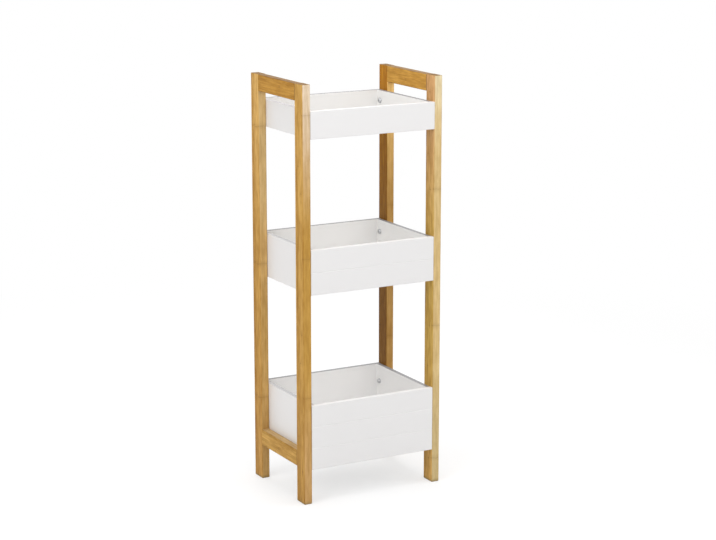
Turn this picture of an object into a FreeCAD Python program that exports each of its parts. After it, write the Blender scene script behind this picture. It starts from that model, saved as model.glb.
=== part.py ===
import FreeCAD, Part
import math
import os

# A narrow floor shelf for a bathroom: two bamboo side frames with three white trays between them.
# Lengths are in millimetres. Z is up, the front faces -Y, and the origin lies on the floor under the middle.

# Overall size
stand_height = 800.0
stand_width = 297.0
stand_depth = 213.0

# Bamboo posts and rails
post_width = 16.5
post_depth = 32.0
rail_height = 32.0
lower_rail_underside = 69.0
timber_edge_radius = 2.0
foot_chamfer = 1.2

# Dowels between rails and posts
frame_dowel_diameter = 6.0
frame_dowel_length = 30.0
frame_dowel_in_post = 15.0
frame_dowel_from_rail_edge = 8.0
dowel_side_clearance = 0.1
dowel_end_clearance = 0.5
dowel_end_chamfer = 0.6

# Tray places and heights
bottom_tray_underside = 67.0
bottom_tray_height = 126.0
middle_tray_underside = 406.0
middle_tray_height = 86.0
top_tray_height = 52.0
top_tray_rim_below_post_tops = 49.0

# Grooves along the outer face of each long board, and rows of bolts through each end board
bottom_tray_groove_count = 2
bottom_tray_bolt_rows = 2
middle_tray_groove_count = 1
middle_tray_bolt_rows = 2
top_tray_groove_count = 0
top_tray_bolt_rows = 1

# Tray boards
board_thickness = 9.0
board_edge_radius = 1.0
face_groove_width = 1.4
face_groove_depth = 0.7
floor_thickness = 5.0
floor_underside = 8.0
floor_tongue_thickness_share = 0.6
floor_groove_depth = 4.0
floor_shoulder_clearance = 0.3
floor_tongue_top_clearance = 0.2
floor_tongue_edge_clearance = 0.5

# Dowels at the tray corners
tray_dowel_diameter = 5.0
tray_dowel_length = 20.0
tray_dowel_in_long_board = 6.0
tray_dowel_from_rim = 9.0
tray_dowel_above_floor = 8.0

# Bolts that hold the trays to the posts
bolt_diameter = 5.0
bolt_head_diameter = 9.5
bolt_head_height = 2.8
bolt_head_rounding = 1.9
bolt_socket_flats = 3.0
bolt_socket_depth = 1.8
bolt_tip_chamfer = 0.7
bolt_tip_clearance = 1.0
bolt_hole_clearance = 0.25
bolt_from_post_inside = 11.0
washer_diameter = 10.0
washer_thickness = 1.0
washer_hole_clearance = 0.15

# Threaded inserts in the posts
insert_diameter = 8.0
insert_side_clearance = 0.1
insert_bore_clearance = 0.1
insert_end_clearance = 1.0
insert_cover = 4.5
insert_ring_depth = 0.5
insert_ring_width = 1.2
insert_rings = 3

# Places that follow from the sizes above
rail_thickness = post_width
top_tray_underside = stand_height - top_tray_rim_below_post_tops - top_tray_height
tray_half_length = stand_width / 2 - post_width
tray_half_depth = stand_depth / 2
end_board_half_length = tray_half_depth - board_thickness
floor_upper_face = floor_underside + floor_thickness
floor_tongue_upper_face = floor_underside + floor_thickness * floor_tongue_thickness_share
insert_hole_depth = post_width - insert_cover
insert_length = insert_hole_depth - insert_end_clearance
bolt_length = washer_thickness + board_thickness + insert_length - bolt_tip_clearance
bolt_y = stand_depth / 2 - post_depth + bolt_from_post_inside
cut_overrun = 1.0

# Two edges count as parallel when they differ by less than this share of their length
parallel_share = 0.01

# Directions
along_x = FreeCAD.Vector(1, 0, 0)
along_y = FreeCAD.Vector(0, 1, 0)
along_z = FreeCAD.Vector(0, 0, 1)

# Each tray: name, underside, height, grooves, rows of bolts
trays = [
    ("bottom_tray", bottom_tray_underside, bottom_tray_height,
     bottom_tray_groove_count, bottom_tray_bolt_rows),
    ("middle_tray", middle_tray_underside, middle_tray_height,
     middle_tray_groove_count, middle_tray_bolt_rows),
    ("top_tray", top_tray_underside, top_tray_height,
     top_tray_groove_count, top_tray_bolt_rows),
]


def block(low, high):
    """A box between two opposite corners."""
    size = high - low
    return Part.makeBox(size.x, size.y, size.z, low)


def edges_along(shape, direction):
    """The straight edges of a shape that run along one direction."""
    chosen = []
    for edge in shape.Edges:
        start = edge.Vertexes[0].Point
        end = edge.Vertexes[-1].Point
        run = end - start
        if run.Length > 0 and run.cross(direction).Length < run.Length * parallel_share:
            chosen.append(edge)
    return chosen


def rod(start, direction, diameter, length):
    """A round bar or a round hole from a point along a direction."""
    return Part.makeCylinder(diameter / 2, length, start, direction)


def dowel(start, direction, diameter, length):
    """A wooden dowel with both ends chamfered."""
    plain = rod(start, direction, diameter, length)
    rims = [edge for edge in plain.Edges if len(edge.Vertexes) == 1]
    return plain.makeChamfer(dowel_end_chamfer, rims)


def frame_dowel_heights(rail_underside):
    """Heights of the two dowels in one end of a rail."""
    return [
        rail_underside + frame_dowel_from_rail_edge,
        rail_underside + rail_height - frame_dowel_from_rail_edge,
    ]


def rail_undersides():
    """Undersides of the lower and the top rail; the top rail is flush with the post tops."""
    return {"lower_rail": lower_rail_underside, "top_rail": stand_height - rail_height}


def tray_dowel_heights(underside, height, bolt_rows):
    """Heights of the dowels at one corner of a tray, one more than it has rows of bolts."""
    lowest = underside + floor_upper_face + tray_dowel_above_floor
    highest = underside + height - tray_dowel_from_rim
    step = (highest - lowest) / bolt_rows
    return [lowest + row * step for row in range(bolt_rows + 1)]


def bolt_heights(underside, height, bolt_rows):
    """Heights of the rows of bolts, each midway between two dowels."""
    dowels = tray_dowel_heights(underside, height, bolt_rows)
    return [(low + high) / 2 for low, high in zip(dowels, dowels[1:])]


def post(side, end):
    """One post: side is -1 at the left and 1 at the right, end is -1 at the front and 1 at the rear."""
    outside = side * stand_width / 2
    inside = outside - side * post_width
    outer_y = end * stand_depth / 2
    inner_y = outer_y - end * post_depth
    low = FreeCAD.Vector(min(outside, inside), min(outer_y, inner_y), 0)
    high = FreeCAD.Vector(max(outside, inside), max(outer_y, inner_y), stand_height)
    solid = block(low, high)
    solid = solid.makeFillet(timber_edge_radius, edges_along(solid, along_z))
    foot_edges = [edge for edge in solid.Edges if edge.BoundBox.ZMax < foot_chamfer]
    solid = solid.makeChamfer(foot_chamfer, foot_edges)

    # Blind holes for the rail dowels, in the edge that faces the other post
    middle_x = (outside + inside) / 2
    hole_depth = frame_dowel_in_post + dowel_end_clearance
    hole_diameter = frame_dowel_diameter + 2 * dowel_side_clearance
    for underside in rail_undersides().values():
        for height in frame_dowel_heights(underside):
            mouth = FreeCAD.Vector(middle_x, inner_y - end * cut_overrun, height)
            solid = solid.cut(rod(mouth, along_y * end, hole_diameter, hole_depth + cut_overrun))

    # Blind holes for the threaded inserts, in the face against the trays
    hole_diameter = insert_diameter + 2 * insert_side_clearance
    for name, underside, height, grooves, rows in trays:
        for bolt_z in bolt_heights(underside, height, rows):
            mouth = FreeCAD.Vector(inside - side * cut_overrun, end * bolt_y, bolt_z)
            solid = solid.cut(rod(mouth, along_x * side, hole_diameter, insert_hole_depth + cut_overrun))
    return solid


def rail(side, underside):
    """One rail of a side frame, flush with the outside of the posts."""
    outside = side * stand_width / 2
    inside = outside - side * rail_thickness
    half_length = stand_depth / 2 - post_depth
    low = FreeCAD.Vector(min(outside, inside), -half_length, underside)
    high = FreeCAD.Vector(max(outside, inside), half_length, underside + rail_height)
    solid = block(low, high)
    solid = solid.makeFillet(timber_edge_radius, edges_along(solid, along_y))
    middle_x = outside - side * post_width / 2
    hole_depth = frame_dowel_length - frame_dowel_in_post + dowel_end_clearance
    hole_diameter = frame_dowel_diameter + 2 * dowel_side_clearance
    for end in (-1, 1):
        for height in frame_dowel_heights(underside):
            mouth = FreeCAD.Vector(middle_x, end * (half_length + cut_overrun), height)
            solid = solid.cut(rod(mouth, along_y * -end, hole_diameter, hole_depth + cut_overrun))
    return solid


def frame_dowels(side):
    """The eight dowels of one side frame."""
    middle_x = side * (stand_width - post_width) / 2
    joint_y = stand_depth / 2 - post_depth
    solids = []
    for underside in rail_undersides().values():
        for end in (-1, 1):
            for height in frame_dowel_heights(underside):
                start = FreeCAD.Vector(middle_x, end * (joint_y + frame_dowel_in_post), height)
                solids.append(dowel(start, along_y * -end, frame_dowel_diameter, frame_dowel_length))
    return solids


def floor_groove(low, high):
    """The groove for the tongue of a tray floor, between two plan corners at the tray's lower edge."""
    groove_top = floor_tongue_upper_face + floor_tongue_top_clearance
    return block(low + along_z * floor_underside, high + along_z * groove_top)


def face_groove(outer_y, end, height):
    """A shallow V groove along the outer face of a long board."""
    mouth_y = outer_y + end * face_groove_depth
    tip_y = outer_y - end * face_groove_depth
    corners = [
        FreeCAD.Vector(-tray_half_length - cut_overrun, mouth_y, height - face_groove_width),
        FreeCAD.Vector(-tray_half_length - cut_overrun, mouth_y, height + face_groove_width),
        FreeCAD.Vector(-tray_half_length - cut_overrun, tip_y, height),
    ]
    section = Part.Face(Part.makePolygon(corners + corners[:1]))
    return section.extrude(along_x * 2 * (tray_half_length + cut_overrun))


def long_board(end, underside, height, grooves, bolt_rows):
    """The front (end -1) or rear (end 1) board of a tray, which runs from post to post."""
    outer_y = end * tray_half_depth
    inner_y = outer_y - end * board_thickness
    low = FreeCAD.Vector(-tray_half_length, min(outer_y, inner_y), underside)
    high = FreeCAD.Vector(tray_half_length, max(outer_y, inner_y), underside + height)
    solid = block(low, high)
    solid = solid.makeFillet(board_edge_radius, edges_along(solid, along_x))
    for number in range(grooves):
        groove_z = underside + height * (number + 1) / (grooves + 1)
        solid = solid.cut(face_groove(outer_y, end, groove_z))
    groove_ys = (inner_y - end * cut_overrun, inner_y + end * floor_groove_depth)
    groove_low = FreeCAD.Vector(-tray_half_length - cut_overrun, min(groove_ys), underside)
    groove_high = FreeCAD.Vector(tray_half_length + cut_overrun, max(groove_ys), underside)
    solid = solid.cut(floor_groove(groove_low, groove_high))
    hole_depth = tray_dowel_in_long_board + dowel_end_clearance
    hole_diameter = tray_dowel_diameter + 2 * dowel_side_clearance
    for side in (-1, 1):
        hole_x = side * (tray_half_length - board_thickness / 2)
        for dowel_z in tray_dowel_heights(underside, height, bolt_rows):
            mouth = FreeCAD.Vector(hole_x, inner_y - end * cut_overrun, dowel_z)
            solid = solid.cut(rod(mouth, along_y * end, hole_diameter, hole_depth + cut_overrun))
    return solid


def end_board(side, underside, height, bolt_rows):
    """The left (side -1) or right (side 1) end board of a tray, between its long boards."""
    outer_x = side * tray_half_length
    inner_x = outer_x - side * board_thickness
    low = FreeCAD.Vector(min(outer_x, inner_x), -end_board_half_length, underside)
    high = FreeCAD.Vector(max(outer_x, inner_x), end_board_half_length, underside + height)
    solid = block(low, high)
    solid = solid.makeFillet(board_edge_radius, edges_along(solid, along_y))
    groove_xs = (inner_x - side * cut_overrun, inner_x + side * floor_groove_depth)
    groove_low = FreeCAD.Vector(min(groove_xs), -end_board_half_length - cut_overrun, underside)
    groove_high = FreeCAD.Vector(max(groove_xs), end_board_half_length + cut_overrun, underside)
    solid = solid.cut(floor_groove(groove_low, groove_high))
    dowel_hole_depth = tray_dowel_length - tray_dowel_in_long_board + dowel_end_clearance
    dowel_hole_diameter = tray_dowel_diameter + 2 * dowel_side_clearance
    bolt_hole_diameter = bolt_diameter + 2 * bolt_hole_clearance
    for end in (-1, 1):
        for dowel_z in tray_dowel_heights(underside, height, bolt_rows):
            mouth_y = end * (end_board_half_length + cut_overrun)
            mouth = FreeCAD.Vector(side * (tray_half_length - board_thickness / 2), mouth_y, dowel_z)
            hole = rod(mouth, along_y * -end, dowel_hole_diameter, dowel_hole_depth + cut_overrun)
            solid = solid.cut(hole)
        for bolt_z in bolt_heights(underside, height, bolt_rows):
            mouth = FreeCAD.Vector(inner_x - side * cut_overrun, end * bolt_y, bolt_z)
            through = board_thickness + 2 * cut_overrun
            solid = solid.cut(rod(mouth, along_x * side, bolt_hole_diameter, through))
    return solid


def tray_floor(underside):
    """The floor board of a tray; the tongue round it lies in the grooves of the four other boards."""
    inside_half_length = tray_half_length - board_thickness
    inside_half_depth = tray_half_depth - board_thickness
    tongue_reach = floor_groove_depth - floor_tongue_edge_clearance
    low = FreeCAD.Vector(-inside_half_length, -inside_half_depth, underside + floor_underside)
    high = FreeCAD.Vector(inside_half_length, inside_half_depth, underside + floor_upper_face)
    tongue_top = FreeCAD.Vector(high.x, high.y, underside + floor_tongue_upper_face)
    outwards = along_x + along_y
    panel = block(low + outwards * floor_shoulder_clearance, high - outwards * floor_shoulder_clearance)
    tongue = block(low - outwards * tongue_reach, tongue_top + outwards * tongue_reach)
    return panel.fuse(tongue).removeSplitter()


def tray_dowels(underside, height, bolt_rows):
    """The dowels at the four corners of a tray."""
    solids = []
    for side in (-1, 1):
        for end in (-1, 1):
            for dowel_z in tray_dowel_heights(underside, height, bolt_rows):
                start_y = end * (end_board_half_length + tray_dowel_in_long_board)
                start = FreeCAD.Vector(side * (tray_half_length - board_thickness / 2), start_y, dowel_z)
                solids.append(dowel(start, along_y * -end, tray_dowel_diameter, tray_dowel_length))
    return solids


def bolt(side, seat):
    """A button-head bolt whose head rests at seat and whose shank points outwards."""
    outwards = along_x * side
    head = rod(seat, along_x * -side, bolt_head_diameter, bolt_head_height)
    head_top = seat.x - side * bolt_head_height
    top_rims = [
        edge for edge in head.Edges
        if len(edge.Vertexes) == 1 and abs(edge.CenterOfMass.x - head_top) < bolt_head_height / 2
    ]
    head = head.makeFillet(bolt_head_rounding, top_rims)
    shank = rod(seat, outwards, bolt_diameter, bolt_length)
    tip = seat.x + side * bolt_length
    tip_rims = [
        edge for edge in shank.Edges
        if len(edge.Vertexes) == 1 and abs(edge.CenterOfMass.x - tip) < bolt_length / 2
    ]
    shank = shank.makeChamfer(bolt_tip_chamfer, tip_rims)
    return head.fuse(shank).cut(hex_socket(side, seat)).removeSplitter()


def hex_socket(side, seat):
    """The six-sided hole in a bolt head."""
    six_sides = 6
    full_turn = 360.0
    radius = bolt_socket_flats / 2 / math.cos(math.pi / six_sides)
    bottom_x = seat.x - side * (bolt_head_height - bolt_socket_depth)
    corner = FreeCAD.Vector(bottom_x, seat.y, seat.z + radius)
    centre = FreeCAD.Vector(bottom_x, seat.y, seat.z)
    corners = []
    for number in range(six_sides):
        turn = FreeCAD.Rotation(along_x, number * full_turn / six_sides)
        corners.append(centre + turn.multVec(corner - centre))
    section = Part.Face(Part.makePolygon(corners + corners[:1]))
    return section.extrude(along_x * -side * (bolt_socket_depth + cut_overrun))


def washer(side, seat):
    """A flat washer that lies against the tray's end board at seat."""
    disc = rod(seat, along_x * -side, washer_diameter, washer_thickness)
    mouth = seat + along_x * side * cut_overrun
    hole_diameter = bolt_diameter + 2 * washer_hole_clearance
    hole = rod(mouth, along_x * -side, hole_diameter, washer_thickness + 2 * cut_overrun)
    return disc.cut(hole)


def insert(side, mouth):
    """A threaded insert: a ringed sleeve flush with the post's inner face at mouth."""
    outwards = along_x * side
    body = rod(mouth, outwards, insert_diameter, insert_length)
    ring_pitch = insert_length / (insert_rings + 1)
    for number in range(insert_rings):
        start = mouth + outwards * ((number + 1) * ring_pitch - insert_ring_width / 2)
        band = rod(start, outwards, insert_diameter + 2 * cut_overrun, insert_ring_width)
        core = rod(start, outwards, insert_diameter - 2 * insert_ring_depth, insert_ring_width)
        body = body.cut(band.cut(core))
    bore_start = mouth - outwards * cut_overrun
    bore_diameter = bolt_diameter + 2 * insert_bore_clearance
    return body.cut(rod(bore_start, outwards, bore_diameter, insert_length + 2 * cut_overrun))


def fastener_places(underside, height, bolt_rows):
    """For each bolt of a tray: its side, its distance from front to rear, and its height."""
    places = []
    for side in (-1, 1):
        for end in (-1, 1):
            for bolt_z in bolt_heights(underside, height, bolt_rows):
                places.append((side, end * bolt_y, bolt_z))
    return places


def tray_fasteners(underside, height, bolt_rows):
    """The bolts, washers and threaded inserts of one tray."""
    bolts = []
    washers = []
    inserts = []
    for side, y, z in fastener_places(underside, height, bolt_rows):
        board_face = side * (tray_half_length - board_thickness)
        head_seat = board_face - side * washer_thickness
        bolts.append(bolt(side, FreeCAD.Vector(head_seat, y, z)))
        washers.append(washer(side, FreeCAD.Vector(board_face, y, z)))
        inserts.append(insert(side, FreeCAD.Vector(side * tray_half_length, y, z)))
    return bolts, washers, inserts


def build_parts():
    """Every sub-part by name: a solid, or a group of like solids."""
    parts = {}
    for side_name, side in (("left", -1), ("right", 1)):
        for end_name, end in (("front", -1), ("rear", 1)):
            parts[end_name + "_" + side_name + "_post"] = post(side, end)
        for rail_name, underside in rail_undersides().items():
            parts[side_name + "_" + rail_name] = rail(side, underside)
        parts[side_name + "_frame_dowels"] = Part.makeCompound(frame_dowels(side))
    for name, underside, height, grooves, rows in trays:
        parts[name + "_front"] = long_board(-1, underside, height, grooves, rows)
        parts[name + "_rear"] = long_board(1, underside, height, grooves, rows)
        parts[name + "_left_end"] = end_board(-1, underside, height, rows)
        parts[name + "_right_end"] = end_board(1, underside, height, rows)
        parts[name + "_floor"] = tray_floor(underside)
        parts[name + "_dowels"] = Part.makeCompound(tray_dowels(underside, height, rows))
        bolts, washers, inserts = tray_fasteners(underside, height, rows)
        parts[name + "_bolts"] = Part.makeCompound(bolts)
        parts[name + "_washers"] = Part.makeCompound(washers)
        parts[name + "_inserts"] = Part.makeCompound(inserts)
    return parts


os.makedirs("parts", exist_ok=True)
for part_name, shape in build_parts().items():
    shape.exportStep("parts/" + part_name + ".step")
    print(part_name, len(shape.Solids), "solids, valid", shape.isValid(), "volume", round(shape.Volume))
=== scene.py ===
import math
import bmesh
import bpy
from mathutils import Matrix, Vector


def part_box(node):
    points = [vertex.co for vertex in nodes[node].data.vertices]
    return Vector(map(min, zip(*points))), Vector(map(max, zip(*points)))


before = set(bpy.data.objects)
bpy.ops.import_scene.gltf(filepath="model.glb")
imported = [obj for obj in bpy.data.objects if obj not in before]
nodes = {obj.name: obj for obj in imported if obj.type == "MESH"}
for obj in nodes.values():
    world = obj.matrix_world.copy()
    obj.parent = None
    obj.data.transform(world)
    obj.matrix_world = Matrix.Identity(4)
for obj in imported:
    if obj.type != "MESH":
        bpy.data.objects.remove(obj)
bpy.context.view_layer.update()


# Posts
# Four upright posts of laminated bamboo: six narrow strips of the stem glued side by side, planed
# square, rounded along the edges, chamfered at the foot and lacquered to a satin gloss.

left_right, front_rear, up_down = 0, 1, 2

# Strips and glue lines, the last two as shares of a strip's width
strips_in_piece = 6
strip_margin = 0.001
glue_line_half_width = 0.05

# Knots
knot_spacing = 0.2675
knot_half_height = 0.0014
knot_halo = 0.009
knot_wander = 0.0016
knot_wander_spacing = 0.004

# Kinds of grain: spacing across, length along, detail, and the random number that shifts it
fine_detail = 3.0
fibre_grain = (0.0011, 0.050, fine_detail, 0)
streak_grain = (0.0042, 0.240, 2.0, 1)
blotch_grain = (0.009, 0.034, 4.0, 2)
dash_grain = (0.0006, 0.011, 1.0, 2)
grain_roughness = 0.55
longest_shift = 40.0
end_dot_spacing = 0.0011

# Colours, of which the streaks, the fibre and the edge shade are multiplied with the one below
pale_streak = (1.33, 1.42, 1.66)
dark_streak = (0.70, 0.61, 0.44)
dark_fibre = (0.84, 0.77, 0.64)
edge_shade = (0.80, 0.75, 0.66)
knot_brown = (0.235, 0.112, 0.030)
foot_dark = (0.270, 0.200, 0.090)
foot_dark_height = 0.008
end_brown = (0.270, 0.160, 0.068)
end_dot_brown = (0.100, 0.052, 0.020)

# Where each soft step starts and ends
long_face_from_to = (0.5, 0.8)
end_face_from_to = (0.6, 0.8)
left_face_from_to = (-0.8, -0.5)
foot_from_to = (0.05, 0.30)
wide_head_from_to = (0.44, 0.76)
cloud_from_to = (0.3, 0.7)
dash_from_to = (0.62, 0.76)
fibre_from_to = (0.35, 0.75)
end_dot_from_to = (0.15, 0.45)
bamboo_edge_from_to = (0.75, 0.98)

# How much each thing counts in the colour
strip_share = 0.46
streak_share = 0.16
blotch_share = 0.30
blotch_share_more_on_wide = 0.20
dash_share = 0.25
halo_share = 0.16
knot_share_on_wide = 0.42
knot_share_on_narrow = 0.20
glue_share = 0.40
foot_dark_share = 0.7

# Lacquer
lacquer_roughness = 0.38
fibre_roughness = 0.16
end_roughness = 0.20
lacquer_specular = 0.06
knot_bump = 0.5
bamboo_bump = 0.35
bamboo_relief = 0.00012


def add(tree, kind, inputs=None, **options):
    """One shader node with its options set, and its inputs set or linked by name or number."""
    made = tree.nodes.new(kind)
    for option, value in options.items():
        setattr(made, option, value)
    for socket, value in (inputs or {}).items():
        if isinstance(value, bpy.types.NodeSocket):
            tree.links.new(value, made.inputs[socket])
        else:
            made.inputs[socket].default_value = value
    return made


def calc(tree, operation, *values):
    """A sum on numbers or sockets."""
    return add(tree, "ShaderNodeMath", dict(enumerate(values)), operation=operation).outputs[0]


def rise(tree, value, start, end):
    """A smooth step from 0 at start to 1 at end."""
    inputs = {"Value": value, "From Min": start, "From Max": end}
    return add(tree, "ShaderNodeMapRange", inputs, interpolation_type="SMOOTHSTEP").outputs[0]


def fall(tree, value, start, end):
    """A smooth step from 1 at start to 0 at end."""
    return calc(tree, "SUBTRACT", 1.0, rise(tree, value, start, end))


def tint(tree, share, first, second, way="MIX"):
    """The first colour mixed with the second by a share."""
    made = add(tree, "ShaderNodeMix", {0: share}, data_type="RGBA", blend_type=way)
    for socket, colour in ((6, first), (7, second)):
        if isinstance(colour, bpy.types.NodeSocket):
            tree.links.new(colour, made.inputs[socket])
        else:
            made.inputs[socket].default_value = (*colour, 1.0)
    return made.outputs[2]


def vector(tree, x, y, z):
    """Three numbers or sockets as one vector."""
    return add(tree, "ShaderNodeCombineXYZ", {0: x, 1: y, 2: z}).outputs[0]


def noise(tree, place, scale=1.0, detail=2.0, roughness=0.5):
    """Soft noise between 0 and 1 at a place."""
    inputs = {"Vector": place, "Scale": scale, "Detail": detail, "Roughness": roughness}
    return add(tree, "ShaderNodeTexNoise", inputs).outputs[0]


def finish_of(name):
    """A new material, its tree and its Principled shader, then place and facing on the object by axis."""
    material = bpy.data.materials.new(name)
    material.use_nodes = True
    tree = material.node_tree
    surface = tree.nodes["Principled BSDF"]
    source = add(tree, "ShaderNodeTexCoord")
    place = add(tree, "ShaderNodeSeparateXYZ", {0: source.outputs["Object"]}).outputs
    facing = add(tree, "ShaderNodeSeparateXYZ", {0: source.outputs["Normal"]}).outputs
    return material, tree, surface, place, facing


def roughen(tree, surface, height, strength, distance):
    """Fine relief on the surface from a height."""
    bump = add(tree, "ShaderNodeBump", {"Height": height, "Strength": strength, "Distance": distance})
    tree.links.new(bump.outputs[0], surface.inputs["Normal"])


def flatness(tree, facing):
    """1 on flat faces square to the object, less on rounded edges and chamfers."""
    sizes = [calc(tree, "ABSOLUTE", axis) for axis in facing]
    return calc(tree, "MAXIMUM", sizes[0], calc(tree, "MAXIMUM", sizes[1], sizes[2]))


def by_height(tree, height, colours, head_from_to):
    """One colour, or three that turn into each other from the foot over the middle to the head."""
    if len(colours) == 1:
        return colours[0]
    foot, middle, head = colours
    lower = tint(tree, rise(tree, height, *foot_from_to), foot, middle)
    return tint(tree, rise(tree, height, *head_from_to), lower, head)


def strip_at(tree, place_across, low, high, luck_start):
    """The place within a strip, as a share of its width, and three random numbers of the strip's own."""
    steps = calc(tree, "DIVIDE", calc(tree, "SUBTRACT", place_across, low), (high - low) / strips_in_piece)
    steps = calc(tree, "MAXIMUM", steps, strip_margin)
    steps = calc(tree, "MINIMUM", steps, strips_in_piece - strip_margin)
    number = calc(tree, "FLOOR", steps)
    seed = calc(tree, "ADD", number, luck_start)
    dice = add(tree, "ShaderNodeTexWhiteNoise", {"W": seed}, noise_dimensions="1D").outputs["Color"]
    return calc(tree, "SUBTRACT", steps, number), add(tree, "ShaderNodeSeparateXYZ", {0: dice}).outputs


def grain(tree, place, ways, luck, kind):
    """Noise drawn out along the grain, shifted in each strip by one of its random numbers."""
    across, along, through = ways
    spacing, length, detail, shift = kind
    shifted = calc(tree, "DIVIDE", place[along], length)
    shifted = calc(tree, "MULTIPLY_ADD", luck[shift], longest_shift, shifted)
    spot = vector(tree, calc(tree, "DIVIDE", place[across], spacing),
                  calc(tree, "DIVIDE", place[through], spacing), shifted)
    return noise(tree, spot, 1.0, detail, grain_roughness)


def distance_to_knot(tree, place, ways, luck, knots):
    """How far the strip's nearest knot is along the grain, with a little wander across the strip."""
    across, along, through = ways
    first_knot, scatter = knots
    spot = vector(tree, calc(tree, "DIVIDE", place[across], knot_wander_spacing),
                  calc(tree, "DIVIDE", place[through], knot_wander_spacing), luck[1])
    wander = calc(tree, "MULTIPLY_ADD", noise(tree, spot), knot_wander * 2, -knot_wander)
    turns = calc(tree, "SUBTRACT", calc(tree, "ADD", place[along], wander), first_knot)
    turns = calc(tree, "DIVIDE", turns, knot_spacing)
    turns = calc(tree, "MULTIPLY_ADD", calc(tree, "SUBTRACT", luck[2], 0.5), scatter, turns)
    apart = calc(tree, "ABSOLUTE", calc(tree, "SUBTRACT", turns, calc(tree, "ROUND", turns)))
    return calc(tree, "MULTIPLY", apart, knot_spacing)


def bamboo(piece, across, along, luck_start, knots, wide, narrow, narrow_head_from_to=None,
           wide_left_shade=None):
    """Lacquered laminated bamboo: strips side by side in one direction, grain in the other.

    Knots are the place of one knot along the grain and how far, as a share of their spacing, the strips'
    knots are apart from each other. The faces that show the strips have the wide colours and the other
    long faces the narrow ones, which turn into the head's between two heights; these colours by height are
    the bamboo's tone with painted light in them, paler toward the head as a painted sheen. The wide face
    to the left can have colours of its own, darker as painted shade.
    """
    material, tree, surface, place, facing = finish_of(piece + "_bamboo")
    low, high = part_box(piece)
    through = left_right + front_rear + up_down - across - along
    ways = (across, along, through)
    within, luck = strip_at(tree, place[across], low[across], high[across], luck_start)

    # Which kind of face this is
    wide_face = rise(tree, calc(tree, "ABSOLUTE", facing[through]), *long_face_from_to)
    narrow_face = rise(tree, calc(tree, "ABSOLUTE", facing[across]), *long_face_from_to)
    end_face = rise(tree, calc(tree, "ABSOLUTE", facing[along]), *end_face_from_to)

    # Colour of the long faces by height: the bamboo's tone with painted light, paler toward the head as a
    # painted sheen
    colour = by_height(tree, place[up_down], wide, wide_head_from_to)
    # Darker colours for the wide face to the left, where given: painted shade
    if wide_left_shade:
        left = by_height(tree, place[up_down], wide_left_shade, wide_head_from_to)
        colour = tint(tree, rise(tree, facing[through], *left_face_from_to), left, colour)
    slim = by_height(tree, place[up_down], narrow, narrow_head_from_to)
    colour = tint(tree, narrow_face, colour, slim)

    # Paler and darker strips with broad streaks and cloudy blotches, more of these on the wide faces
    streaks = rise(tree, grain(tree, place, ways, luck, streak_grain), *cloud_from_to)
    blotches = rise(tree, grain(tree, place, ways, luck, blotch_grain), *cloud_from_to)
    blotchy = calc(tree, "MULTIPLY_ADD", wide_face, blotch_share_more_on_wide, blotch_share)
    tone = calc(tree, "MULTIPLY", blotches, blotchy)
    tone = calc(tree, "MULTIPLY_ADD", streaks, streak_share, tone)
    tone = calc(tree, "MULTIPLY_ADD", luck[0], strip_share, tone)
    colour = tint(tree, 1.0, colour, tint(tree, tone, pale_streak, dark_streak), "MULTIPLY")

    # Fine dark fibres and short brown dashes
    fibres = grain(tree, place, ways, luck, fibre_grain)
    darker = tint(tree, 1.0, colour, dark_fibre, "MULTIPLY")
    colour = tint(tree, rise(tree, fibres, *fibre_from_to), colour, darker)
    dashes = rise(tree, grain(tree, place, ways, luck, dash_grain), *dash_from_to)
    colour = tint(tree, calc(tree, "MULTIPLY", dashes, dash_share), colour, knot_brown)

    # Knots: a thin brown line across each strip with a fainter halo
    apart = distance_to_knot(tree, place, ways, luck, knots)
    halo = fall(tree, apart, 0.0, knot_halo)
    colour = tint(tree, calc(tree, "MULTIPLY", halo, halo_share), colour, knot_brown)
    knot = fall(tree, apart, 0.0, knot_half_height)
    less = knot_share_on_narrow - knot_share_on_wide
    strength = calc(tree, "MULTIPLY_ADD", narrow_face, less, knot_share_on_wide)
    colour = tint(tree, calc(tree, "MULTIPLY", knot, strength), colour, knot_brown)

    # Glue lines between strips on the wide faces
    near_line = calc(tree, "MINIMUM", within, calc(tree, "SUBTRACT", 1.0, within))
    glue = calc(tree, "MULTIPLY", fall(tree, near_line, 0.0, glue_line_half_width), wide_face)
    colour = tint(tree, calc(tree, "MULTIPLY", glue, glue_share), colour, knot_brown)

    # Sawn ends, with the cut fibres as dots
    inputs = {"Vector": vector(tree, *place), "Scale": 1 / end_dot_spacing}
    dots = add(tree, "ShaderNodeTexVoronoi", inputs).outputs["Distance"]
    sawn = tint(tree, rise(tree, dots, *end_dot_from_to), end_dot_brown, end_brown)
    colour = tint(tree, end_face, colour, sawn)

    # Rounded edges darker, painted shade, and a post darker at its foot
    edge = fall(tree, flatness(tree, facing), *bamboo_edge_from_to)
    colour = tint(tree, edge, colour, tint(tree, 1.0, colour, edge_shade, "MULTIPLY"))
    if along == up_down:
        near_foot = fall(tree, place[up_down], 0.0, foot_dark_height)
        colour = tint(tree, calc(tree, "MULTIPLY", near_foot, foot_dark_share), colour, foot_dark)
    tree.links.new(colour, surface.inputs["Base Color"])

    # Satin lacquer over open grain
    gloss = calc(tree, "MULTIPLY_ADD", fibres, fibre_roughness, lacquer_roughness)
    gloss = calc(tree, "MULTIPLY_ADD", end_face, end_roughness, gloss)
    tree.links.new(gloss, surface.inputs["Roughness"])
    surface.inputs["Specular IOR Level"].default_value = lacquer_specular
    height = calc(tree, "MULTIPLY_ADD", knot, knot_bump, fibres)
    height = calc(tree, "SUBTRACT", height, calc(tree, "ADD", glue, dashes))
    roughen(tree, surface, height, bamboo_bump, bamboo_relief)
    return material


def dress(piece, material):
    """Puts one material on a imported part."""
    mesh = nodes[piece].data
    mesh.materials.clear()
    mesh.materials.append(material)


# The colours by height are each post's bamboo tone with painted light in them: the paler, creamier heads
# are a painted sheen
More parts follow.
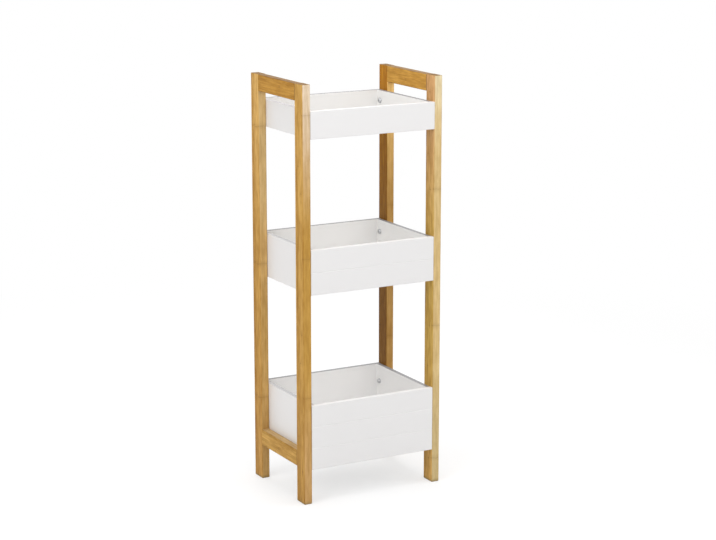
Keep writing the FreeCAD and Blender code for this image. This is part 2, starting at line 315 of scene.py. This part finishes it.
posts = {
    "front_left_post": dict(
        luck_start=18507,
        knots=(0.0, 1.0),
        wide=((0.505, 0.280, 0.065), (0.550, 0.315, 0.074), (0.605, 0.354, 0.091)),
        narrow=((0.557, 0.336, 0.129), (0.521, 0.296, 0.066), (0.895, 0.785, 0.632)),
        narrow_head_from_to=(0.50, 0.95),
    ),
    "rear_left_post": dict(
        luck_start=45899,
        knots=(0.165, 0.02),
        wide=((0.515, 0.278, 0.068), (0.536, 0.296, 0.067), (0.658, 0.396, 0.118)),
        narrow=((0.514, 0.310, 0.104), (0.537, 0.319, 0.098), (0.604, 0.411, 0.172)),
        narrow_head_from_to=(0.30, 0.65),
    ),
    "front_right_post": dict(
        luck_start=39111,
        knots=(0.0, 1.0),
        wide=((0.655, 0.390, 0.113), (0.545, 0.349, 0.079), (0.650, 0.380, 0.163)),
        narrow=((0.516, 0.384, 0.176), (0.605, 0.429, 0.184), (0.773, 0.693, 0.457)),
        narrow_head_from_to=(0.65, 0.90),
    ),
    "rear_right_post": dict(
        luck_start=9146,
        knots=(0.0, 1.0),
        wide=((0.500, 0.280, 0.068),),
        narrow=((0.480, 0.270, 0.080), (0.480, 0.275, 0.082), (0.930, 0.600, 0.210)),
        narrow_head_from_to=(0.50, 0.74),
        # Its left face, seen between and under the trays, is darker: painted shade
        wide_left_shade=((0.230, 0.105, 0.017), (0.235, 0.106, 0.016), (0.450, 0.190, 0.014)),
    ),
}
for piece, looks in posts.items():
    dress(piece, bamboo(piece, front_rear, up_down, **looks))


# Rails
# Two short rails join the posts of each side frame, one flush with the post tops and one above the
# feet. They are the same laminated bamboo with its grain from front to rear, dowelled and glued.

rail_knots = (0.02, 1.0)
# The top rail's narrow faces, its top and underside, are dark brown: painted shade
top_rail = dict(knots=rail_knots, wide=((0.527, 0.277, 0.050),), narrow=((0.260, 0.150, 0.055),))
lower_rail = dict(knots=rail_knots, wide=((0.553, 0.320, 0.077),), narrow=((0.600, 0.420, 0.200),))
rails = {
    "left_top_rail": (80, top_rail),
    "left_lower_rail": (100, lower_rail),
    "right_top_rail": (120, top_rail),
    "right_lower_rail": (140, lower_rail),
}
for piece, (luck_start, looks) in rails.items():
    dress(piece, bamboo(piece, up_down, front_rear, luck_start, **looks))


# Dowels
# Plain turned beech dowels, sunk in the joints of the side frames and the corners of the trays.
# They are raw wood, with fine grain along the dowel and short dark flecks.

beech = (0.62, 0.43, 0.25)
beech_fleck = (0.36, 0.20, 0.10)
beech_fibre_spacing = 0.0006
beech_fibre_length = 0.006
beech_fleck_from_to = (0.45, 0.75)
beech_roughness = 0.6
beech_fibre_roughness = 0.2
beech_bump = 0.4
beech_relief = 0.0001


def raw_beech():
    """Raw beech with its grain from front to rear, as all the dowels lie that way."""
    material, tree, surface, place, facing = finish_of("raw_beech")
    spot = vector(tree, calc(tree, "DIVIDE", place[left_right], beech_fibre_spacing),
                  calc(tree, "DIVIDE", place[front_rear], beech_fibre_length),
                  calc(tree, "DIVIDE", place[up_down], beech_fibre_spacing))
    fibres = noise(tree, spot, 1.0, fine_detail)
    colour = tint(tree, rise(tree, fibres, *beech_fleck_from_to), beech, beech_fleck)
    tree.links.new(colour, surface.inputs["Base Color"])
    dullness = calc(tree, "MULTIPLY_ADD", fibres, beech_fibre_roughness, beech_roughness)
    tree.links.new(dullness, surface.inputs["Roughness"])
    roughen(tree, surface, fibres, beech_bump, beech_relief)
    return material


dowel_finish = raw_beech()
for piece in nodes:
    if piece.endswith("_dowels"):
        dress(piece, dowel_finish)


# Tray boards
# Each tray is a box of four fibreboard walls and a floor, sprayed satin white, with the corners
# dowelled. The rims of the fronts are white; the rims of the ends and rears are grey, darkest on the
# rears and the right ends.

white = (0.810, 0.800, 0.798)
lit_edge_white = (0.835, 0.826, 0.824)
floor_board_white = (0.760, 0.753, 0.745)
worn_white = (0.70, 0.68, 0.65)
dull_white = (0.62, 0.61, 0.64)
grey_white = (0.48, 0.48, 0.49)
dark_rim_grey = (0.30, 0.30, 0.31)
worn_patch_scale = 30.0
worn_patch_share = 0.05
rim_height = 0.0012
inside_from_to = (0.5, 0.9)
paint_edge_from_to = (0.80, 0.98)
rim_facing_from_to = (0.55, 0.9)
spray_spacing = 0.0013
paint_roughness = 0.38
spray_roughness = 0.10
spray_bump = 0.25
spray_relief = 0.00006
# Per tray the left end's rim colour and the inside white; the inside white is lighter in the lower trays,
# painted light that lifts the shade under the tray above
trays = {
    "bottom_tray": (grey_white, (0.930, 0.925, 0.920)),
    "middle_tray": (grey_white, (0.860, 0.855, 0.845)),
    "top_tray": (dull_white, (0.800, 0.795, 0.785)),
}


def white_paint(piece, colour, rim_colour, inwards=None, lifted_inner_colour=None):
    """Satin white spray paint, with colours of its own on the upward rim and on the face to the inside."""
    material, tree, surface, place, facing = finish_of(piece + "_paint")
    low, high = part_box(piece)
    # The face to the inside takes its own white: painted light lifting the shade inside the tray
    if inwards:
        axis, side = inwards
        inside = rise(tree, calc(tree, "MULTIPLY", facing[axis], side), *inside_from_to)
        colour = tint(tree, inside, colour, lifted_inner_colour)

    # Faint worn patches, then rounded edges and grooves lighter: a painted highlight on the edges and
    # painted light lifting the shade in the grooves; then the rim
    patches = noise(tree, vector(tree, *place), worn_patch_scale, fine_detail)
    colour = tint(tree, calc(tree, "MULTIPLY", patches, worn_patch_share), colour, worn_white)
    colour = tint(tree, fall(tree, flatness(tree, facing), *paint_edge_from_to), colour, lit_edge_white)
    upward = rise(tree, facing[up_down], *rim_facing_from_to)
    at_top = rise(tree, place[up_down], high.z - rim_height, high.z)
    colour = tint(tree, calc(tree, "MULTIPLY", upward, at_top), colour, rim_colour)
    tree.links.new(colour, surface.inputs["Base Color"])

    # Texture of the spray
    spray = noise(tree, vector(tree, *place), 1 / spray_spacing)
    dullness = calc(tree, "MULTIPLY_ADD", spray, spray_roughness, paint_roughness)
    tree.links.new(dullness, surface.inputs["Roughness"])
    roughen(tree, surface, spray, spray_bump, spray_relief)
    return material


for tray, (left_rim, lifted_inner_white) in trays.items():
    walls = {
        "_front": (white, (front_rear, 1.0)),
        "_rear": (dark_rim_grey, (front_rear, -1.0)),
        "_left_end": (left_rim, (left_right, 1.0)),
        "_right_end": (dark_rim_grey, (left_right, -1.0)),
    }
    for wall, (rim_white, inwards) in walls.items():
        dress(tray + wall, white_paint(tray + wall, white, rim_white, inwards, lifted_inner_white))
    dress(tray + "_floor", white_paint(tray + "_floor", floor_board_white, floor_board_white))


# Bolts and washers
# Button-head bolts of zinc-plated steel with a hex socket hold each tray to the posts from inside,
# each on a flat washer. The plating is bright, with a faint cloudy bloom.

zinc = (0.66, 0.67, 0.69)
dull_zinc = (0.50, 0.51, 0.53)
bloom_scale = 900.0
bloom_roughness = 0.15
bolt_roughness = 0.22
washer_roughness = 0.30


def zinc_plate(name, roughness):
    """Zinc-plated steel with a faint cloudy bloom."""
    material, tree, surface, place, facing = finish_of(name)
    bloom = noise(tree, vector(tree, *place), bloom_scale, fine_detail)
    tree.links.new(tint(tree, bloom, zinc, dull_zinc), surface.inputs["Base Color"])
    dullness = calc(tree, "MULTIPLY_ADD", bloom, bloom_roughness, roughness)
    tree.links.new(dullness, surface.inputs["Roughness"])
    surface.inputs["Metallic"].default_value = 1.0
    return material


bolt_finish = zinc_plate("bolt_zinc", bolt_roughness)
washer_finish = zinc_plate("washer_zinc", washer_roughness)
for tray in trays:
    dress(tray + "_bolts", bolt_finish)
    dress(tray + "_washers", washer_finish)


# Threaded inserts
# Turned brass sleeves sunk in the posts, one for each bolt, ringed outside so that they hold in the
# bamboo.

brass = (0.70, 0.48, 0.18)
dull_brass = (0.42, 0.28, 0.10)
turning_mark_spacing = 0.0003
brass_roughness = 0.22
turning_mark_roughness = 0.2


def turned_brass():
    """Brass with turning marks round the sleeve's axis, which runs from left to right."""
    material, tree, surface, place, facing = finish_of("turned_brass")
    along_sleeve = calc(tree, "DIVIDE", place[left_right], turning_mark_spacing)
    marks = noise(tree, vector(tree, along_sleeve, 0.0, 0.0), 1.0, fine_detail)
    tree.links.new(tint(tree, marks, brass, dull_brass), surface.inputs["Base Color"])
    dullness = calc(tree, "MULTIPLY_ADD", marks, turning_mark_roughness, brass_roughness)
    tree.links.new(dullness, surface.inputs["Roughness"])
    surface.inputs["Metallic"].default_value = 1.0
    return material


insert_finish = turned_brass()
for tray in trays:
    dress(tray + "_inserts", insert_finish)


# Studio
# A white floor, even white surroundings and five softboxes around and above, with the camera where the
# stand is seen from the front left and a little from above.

light_white = (1.0, 1.0, 1.0, 1.0)
clear_strength = 1.0
floor_reach = 40.0
floor_white = (0.80, 0.80, 0.80)
floor_glow = 0.575
floor_shade = (0.415, 0.415, 0.415)
shadow_fades_from_to = (0.75, 1.8)
surroundings = 0.54
lamp_side = 1.2
lamp_aim = Vector((0.0, 0.0, 0.45))
lamps = (
    ("front_softbox", (0.0, -1.6, 1.5), 7.7),
    ("left_softbox", (-1.6, -0.6, 1.5), 15.0),
    ("right_softbox", (1.6, -0.8, 1.5), 8.0),
    ("top_softbox", (0.0, -0.2, 2.2), 8.7),
    ("rear_softbox", (0.3, 1.7, 1.7), 16.8),
)
camera_place = Vector((-1.8111, -3.3252, 1.2723))
camera_turn = 28.917
camera_tilt = 12.683
camera_lens = 101.04
sensor_width = 36.0


def seen_directly(tree):
    """1 for rays from the camera and for rays mirrored or refracted towards it."""
    path = add(tree, "ShaderNodeLightPath").outputs
    mirrored = calc(tree, "MAXIMUM", path["Is Glossy Ray"], path["Is Transmission Ray"])
    return calc(tree, "MAXIMUM", path["Is Camera Ray"], mirrored)


def studio_floor():
    """A white floor that lights the stand from below and keeps its soft shadow."""
    outline = bmesh.new()
    bmesh.ops.create_grid(outline, x_segments=1, y_segments=1, size=floor_reach)
    mesh = bpy.data.meshes.new("studio_floor")
    outline.to_mesh(mesh)
    outline.free()
    material = bpy.data.materials.new("studio_floor_white")
    material.use_nodes = True
    tree = material.node_tree
    tree.nodes.clear()
    plain = add(tree, "ShaderNodeBsdfDiffuse", {"Color": (*floor_white, 1.0)}).outputs[0]
    shade = add(tree, "ShaderNodeBsdfDiffuse", {"Color": (*floor_shade, 1.0)}).outputs[0]
    inputs = {"Color": light_white, "Strength": floor_glow}
    glow = add(tree, "ShaderNodeEmission", inputs).outputs[0]
    near = add(tree, "ShaderNodeAddShader", {0: shade, 1: glow}).outputs[0]
    inputs = {"Color": light_white, "Strength": clear_strength}
    clear = add(tree, "ShaderNodeEmission", inputs).outputs[0]
    place = add(tree, "ShaderNodeTexCoord").outputs["Object"]
    away = add(tree, "ShaderNodeVectorMath", {0: place}, operation="LENGTH").outputs["Value"]
    away = rise(tree, away, *shadow_fades_from_to)
    shown = add(tree, "ShaderNodeMixShader", {0: away, 1: near, 2: clear}).outputs[0]
    mixed = add(tree, "ShaderNodeMixShader", {0: seen_directly(tree), 1: plain, 2: shown}).outputs[0]
    add(tree, "ShaderNodeOutputMaterial", {"Surface": mixed})
    mesh.materials.append(material)
    floor = bpy.data.objects.new("studio_floor", mesh)
    bpy.context.scene.collection.objects.link(floor)
    return floor


def studio_world():
    """White surroundings, at lighting strength on the stand and pure white to the camera."""
    world = bpy.data.worlds.new("studio_world")
    world.use_nodes = True
    tree = world.node_tree
    tree.nodes.clear()
    inputs = {"Color": light_white, "Strength": surroundings}
    lighting = add(tree, "ShaderNodeBackground", inputs).outputs[0]
    inputs = {"Color": light_white, "Strength": clear_strength}
    backdrop = add(tree, "ShaderNodeBackground", inputs).outputs[0]
    inputs = {0: seen_directly(tree), 1: lighting, 2: backdrop}
    mixed = add(tree, "ShaderNodeMixShader", inputs).outputs[0]
    add(tree, "ShaderNodeOutputWorld", {"Surface": mixed})
    return world


studio_floor()
bpy.context.scene.world = studio_world()

# The rear softbox doesn't show in the lacquer, as it would lay a whitish band on the rail tops
for name, spot, power in lamps:
    lamp = bpy.data.lights.new(name, "AREA")
    lamp.shape = "SQUARE"
    lamp.size = lamp_side
    lamp.energy = power
    softbox = bpy.data.objects.new(name, lamp)
    softbox.location = spot
    softbox.visible_glossy = name != "rear_softbox"
    softbox.rotation_euler = (lamp_aim - Vector(spot)).to_track_quat("-Z", "Y").to_euler()
    bpy.context.scene.collection.objects.link(softbox)

lens = bpy.data.cameras.new("camera")
lens.sensor_fit = "HORIZONTAL"
lens.sensor_width = sensor_width
lens.lens = camera_lens
camera = bpy.data.objects.new("camera", lens)
camera.location = camera_place
camera.rotation_euler = (math.radians(90.0 - camera_tilt), 0.0, math.radians(-camera_turn))
bpy.context.scene.collection.objects.link(camera)
bpy.context.scene.camera = camera
bpy.context.scene.view_settings.view_transform = "Standard"
